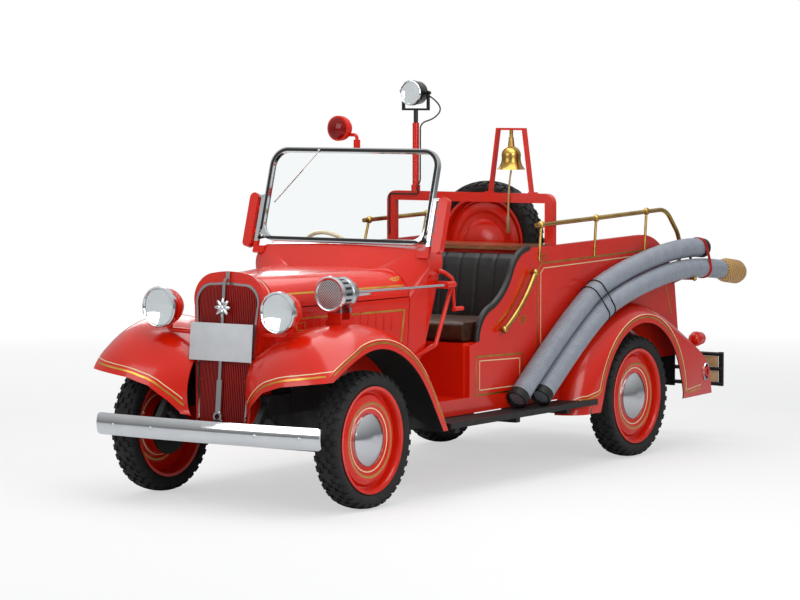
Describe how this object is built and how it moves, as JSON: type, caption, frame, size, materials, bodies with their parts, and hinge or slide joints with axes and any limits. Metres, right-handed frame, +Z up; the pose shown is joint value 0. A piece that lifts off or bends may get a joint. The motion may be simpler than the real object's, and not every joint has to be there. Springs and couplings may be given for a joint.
{
  "type": "fire engine",
  "caption": "Open-cab vintage pump truck: rolling wheels, linked steering, lifting hood halves, turning searchlight on a hoop, bell, siren, brass rails and suction hoses.",
  "frame": {"origin": "centre of the bounding box at ground level", "axes": "+Z up, -Y the way the vehicle faces, +X its left side"},
  "size_m": [1.7406, 5.2299, 2.507],
  "materials": {
    "black_paint": "satin",
    "brass": "polished",
    "brown_leather": "satin",
    "cast_iron": "rough",
    "chrome": "polished",
    "cream": "gloss",
    "dark_red_paint": "gloss",
    "glass": "clear",
    "hose": "ribbed",
    "leather": "satin",
    "red_lens": "gloss",
    "red_paint": "high gloss",
    "rope": "twisted",
    "rubber": "matte",
    "steel": "polished",
    "tyre": "matte",
    "wicker": "woven",
    "wood": "varnished"
  },
  "bodies": {
    "vehicle": {"bed": "red_paint", "bell": "brass", "bell_frame": "red_paint", "bell_rope": "rope", "body_sides": "red_paint", "brass_rails": "brass", "cab_floor": "red_paint", "chassis_frame": "black_paint", "cowl": "red_paint", "engine_gearbox": "cast_iron", "front_axle": "black_paint", "front_bumper": "chrome", "front_fenders": "red_paint", "grab_hoops": "red_paint", "grille_bars": "dark_red_paint", "grille_shell": "red_paint", "grille_trim": "chrome", "headlamp_lenses": "glass", "headlamp_shells": "red_paint", "hood_sides": "red_paint", "hoop": "red_paint", "indicators": "red_paint", "lamp_lead": "rubber", "lamp_lead_loop": "rubber", "rear_axle": "black_paint", "rear_fenders": "red_paint", "rear_guard": "black_paint", "rear_lamps": "red_lens", "running_boards": "black_paint", "seat_back": "leather", "seat_cushion": "brown_leather", "seat_rolls": "leather", "siren": "steel", "siren_drive": "steel", "spare_tyre": "tyre", "spare_wheel": "red_paint", "splash_panels": "black_paint", "steering_column": "black_paint", "strainer_basket": "wicker", "suction_hoses": "hose", "warning_lamp": "red_paint", "windscreen_frame": "chrome", "windscreen_glass": "glass", "wood_board": "wood"},
    "knuckle_left": {"knuckle_left": "black_paint"},
    "knuckle_right": {"knuckle_right": "black_paint"},
    "tie_rod": {"tie_rod": "black_paint"},
    "steering_wheel": {"steering_wheel": "cream"},
    "hood_left": {"hood_top_left": "red_paint"},
    "hood_right": {"hood_top_right": "red_paint"},
    "searchlight": {"searchlight": "black_paint"},
    "wheel_front_left": {"tyre_front_left": "tyre", "wheel_front_left": "red_paint"},
    "wheel_front_right": {"tyre_front_right": "tyre", "wheel_front_right": "red_paint"},
    "wheel_rear_left": {"tyre_rear_left": "tyre", "wheel_rear_left": "red_paint"},
    "wheel_rear_right": {"tyre_rear_right": "tyre", "wheel_rear_right": "red_paint"}
  },
  "joints": [
    {"name": "steer_left", "type": "hinge", "parent": "vehicle", "child": "knuckle_left", "pos_m": [0.612, -2.03, 0.4065], "axis": [0, 0, 1], "range_deg": [-32, 32]},
    {"name": "front_left_roll", "type": "hinge", "parent": "knuckle_left", "child": "wheel_front_left", "pos_m": [0.744, -2.03, 0.4065], "axis": [1, 0, 0], "continuous": true},
    {"name": "rear_left_roll", "type": "hinge", "parent": "vehicle", "child": "wheel_rear_left", "pos_m": [0.744, 1.1, 0.4065], "axis": [1, 0, 0], "continuous": true},
    {"name": "steer_right", "type": "hinge", "parent": "vehicle", "child": "knuckle_right", "pos_m": [-0.612, -2.03, 0.4065], "axis": [0, 0, 1], "range_deg": [-32, 32]},
    {"name": "front_right_roll", "type": "hinge", "parent": "knuckle_right", "child": "wheel_front_right", "pos_m": [-0.744, -2.03, 0.4065], "axis": [1, 0, 0], "continuous": true},
    {"name": "rear_right_roll", "type": "hinge", "parent": "vehicle", "child": "wheel_rear_right", "pos_m": [-0.744, 1.1, 0.4065], "axis": [1, 0, 0], "continuous": true},
    {"name": "tie_rod_shift", "type": "slide", "parent": "vehicle", "child": "tie_rod", "axis": [1, 0, 0], "range_m": [-0.085, 0.085]},
    {"name": "steering_wheel_turn", "type": "hinge", "parent": "vehicle", "child": "steering_wheel", "pos_m": [-0.33, -0.785, 1.385], "axis": [0, 0.788, 0.6157], "range_deg": [-481, 481]},
    {"name": "hood_left_lift", "type": "hinge", "parent": "vehicle", "child": "hood_left", "pos_m": [0.004, -1.775, 1.37], "axis": [0, -1, 0], "range_deg": [0, 60]},
    {"name": "hood_right_lift", "type": "hinge", "parent": "vehicle", "child": "hood_right", "pos_m": [-0.004, -1.775, 1.37], "axis": [0, 1, 0], "range_deg": [0, 60]},
    {"name": "searchlight_pan", "type": "hinge", "parent": "vehicle", "child": "searchlight", "pos_m": [-0.43, 0.303, 2.423], "axis": [0, 0, 1], "range_deg": [-120, 120], "deforming": ["lamp_lead_loop"]}
  ],
  "couplings": [
    {"joint": "steer_right", "follows": "steer_left", "ratio": 1},
    {"joint": "tie_rod_shift", "follows": "steer_left", "m_per_rad": -0.15},
    {"joint": "steering_wheel_turn", "follows": "steer_left", "ratio": 15}
  ]
}
